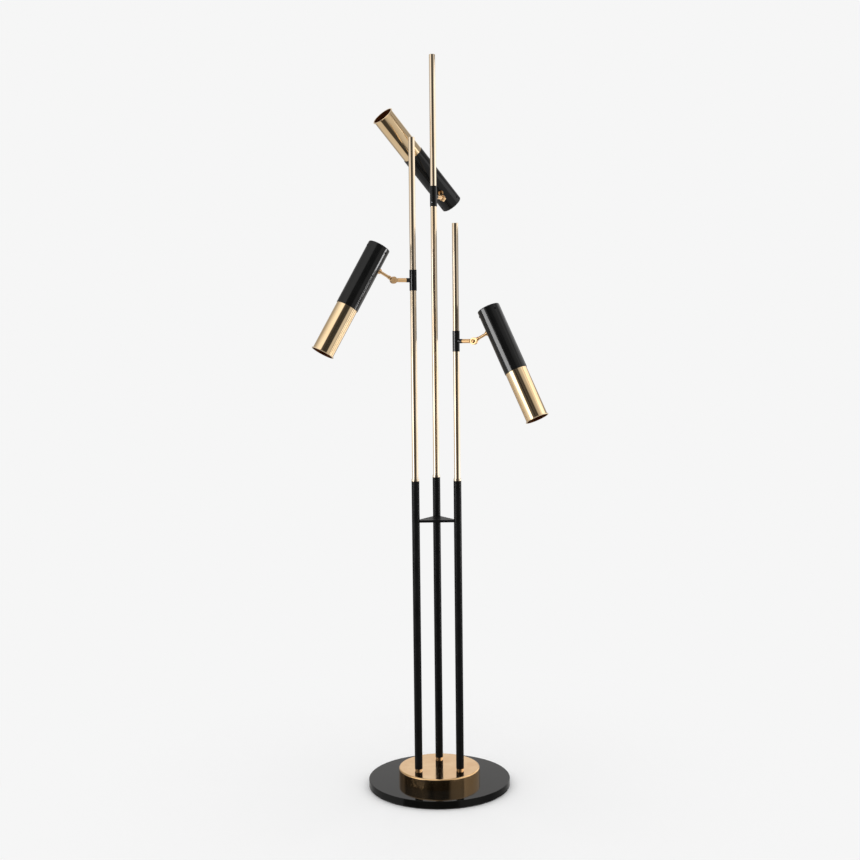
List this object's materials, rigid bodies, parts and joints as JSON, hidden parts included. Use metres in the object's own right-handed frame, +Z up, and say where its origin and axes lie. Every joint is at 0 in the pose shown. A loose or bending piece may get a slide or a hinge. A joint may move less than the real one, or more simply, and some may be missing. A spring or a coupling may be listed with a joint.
{
  "type": "tree floor lamp",
  "caption": "Floor lamp with a round base, three upright columns joined by a brace, and a swivelling, rolling, tilting spot head with a telescoped shade on each column.",
  "frame": {"origin": "centre of the base pad's underside, where the lamp rests on the floor", "axes": "+Z up along the columns; -Y is the front, with the left column on -X, the right column on +X and the third column behind them"},
  "size_m": [0.5518, 0.3867, 1.8],
  "materials": {
    "gloss_black": "gloss black enamel",
    "satin_black": "satin black paint",
    "brass": "polished brass",
    "fixings": "zinc-plated steel",
    "cover": "matt black paint",
    "pad": "fine rubber foam",
    "grommet": "moulded rubber",
    "terminal": "moulded plastic",
    "lead": "round flexible sheath",
    "ceramic": "unglazed ceramic",
    "lamp_glass": "pressed reflector glass"
  },
  "bodies": {
    "base": {"base_pad": "pad", "base_disc": "gloss_black", "base_cover": "cover", "base_screws": "fixings", "base_drum": "brass", "drum_spacers": "fixings", "inlet_grommet": "grommet", "terminal_block": "terminal", "inner_leads": "lead", "foot_studs": "fixings", "foot_nuts": "fixings", "foot_ferrules": "brass", "tube_collars": "brass", "left_tube": "satin_black", "right_tube": "satin_black", "back_tube": "satin_black", "left_rod": "brass", "right_rod": "brass", "back_rod": "brass", "rod_tips": "brass", "brace_plate": "satin_black"},
    "left_sleeve_group": {"left_sleeve": "gloss_black", "left_grub_screws": "fixings"},
    "left_arm_group": {"left_arm": "brass", "left_pivot_screw": "brass"},
    "left_stem_group": {"left_stem": "brass", "left_stem_nut": "fixings"},
    "left_head_group": {"left_saddles": "brass", "left_housing": "gloss_black", "left_rear_cap": "gloss_black", "left_cap_screws": "satin_black", "left_shade": "brass", "left_lamp_holder": "ceramic", "left_lamp": "lamp_glass"},
    "right_sleeve_group": {"right_sleeve": "gloss_black", "right_grub_screws": "fixings"},
    "right_arm_group": {"right_arm": "brass", "right_pivot_screw": "brass"},
    "right_stem_group": {"right_stem": "brass", "right_stem_nut": "fixings"},
    "right_head_group": {"right_saddles": "brass", "right_housing": "gloss_black", "right_rear_cap": "gloss_black", "right_cap_screws": "satin_black", "right_shade": "brass", "right_lamp_holder": "ceramic", "right_lamp": "lamp_glass"},
    "upper_sleeve_group": {"upper_sleeve": "gloss_black", "upper_grub_screws": "fixings"},
    "upper_arm_group": {"upper_arm": "brass", "upper_pivot_screw": "brass"},
    "upper_stem_group": {"upper_stem": "brass", "upper_stem_nut": "fixings"},
    "upper_head_group": {"upper_saddles": "brass", "upper_housing": "gloss_black", "upper_rear_cap": "gloss_black", "upper_cap_screws": "satin_black", "upper_shade": "brass", "upper_lamp_holder": "ceramic", "upper_lamp": "lamp_glass"}
  },
  "joints": [
    {"name": "left_swivel", "type": "hinge", "parent": "base", "child": "left_sleeve_group", "pos_m": [-0.051, -0.02944, 1.249], "axis": [0, 0, 1], "range_deg": [-70, 80]},
    {"name": "left_arm_roll", "type": "hinge", "parent": "left_sleeve_group", "child": "left_arm_group", "pos_m": [-0.051, -0.02944, 1.249], "axis": [-0.9272, -0.3746, 0], "range_deg": [-90, 90]},
    {"name": "left_tilt", "type": "hinge", "parent": "left_arm_group", "child": "left_stem_group", "pos_m": [-0.09736, -0.04818, 1.249], "axis": [-0.3746, 0.9272, 0], "range_deg": [-44, 26]},
    {"name": "left_spin", "type": "hinge", "parent": "left_stem_group", "child": "left_head_group", "pos_m": [-0.15357, -0.07089, 1.284], "axis": [-0.803, -0.3244, 0.5], "range_deg": [-150, 150]},
    {"name": "right_swivel", "type": "hinge", "parent": "base", "child": "right_sleeve_group", "pos_m": [0.051, -0.02944, 1.102], "axis": [0, 0, 1], "range_deg": [-80, 70]},
    {"name": "right_arm_roll", "type": "hinge", "parent": "right_sleeve_group", "child": "right_arm_group", "pos_m": [0.051, -0.02944, 1.102], "axis": [0.848, -0.5299, 0], "range_deg": [-90, 90]},
    {"name": "right_tilt", "type": "hinge", "parent": "right_arm_group", "child": "right_stem_group", "pos_m": [0.0934, -0.05594, 1.102], "axis": [-0.5299, -0.848, 0], "range_deg": [-40, 28]},
    {"name": "right_spin", "type": "hinge", "parent": "right_stem_group", "child": "right_head_group", "pos_m": [0.14653, -0.08914, 1.13323], "axis": [0.7589, -0.4742, 0.4462], "range_deg": [-150, 150]},
    {"name": "upper_swivel", "type": "hinge", "parent": "base", "child": "upper_sleeve_group", "pos_m": [0, 0.05889, 1.4575], "axis": [0, 0, 1], "range_deg": [-90, 60]},
    {"name": "upper_arm_roll", "type": "hinge", "parent": "upper_sleeve_group", "child": "upper_arm_group", "pos_m": [0, 0.05889, 1.4575], "axis": [0.4462, 0.8949, 0], "range_deg": [-85, 5]},
    {"name": "upper_tilt", "type": "hinge", "parent": "upper_arm_group", "child": "upper_stem_group", "pos_m": [0.02231, 0.10364, 1.4575], "axis": [0.5907, -0.2945, 0.7513], "range_deg": [-80, 15]},
    {"name": "upper_spin", "type": "hinge", "parent": "upper_stem_group", "child": "upper_head_group", "pos_m": [0.01638, 0.16686, 1.48695], "axis": [-0.0848, 0.9032, 0.4207], "range_deg": [-160, 8]}
  ]
}
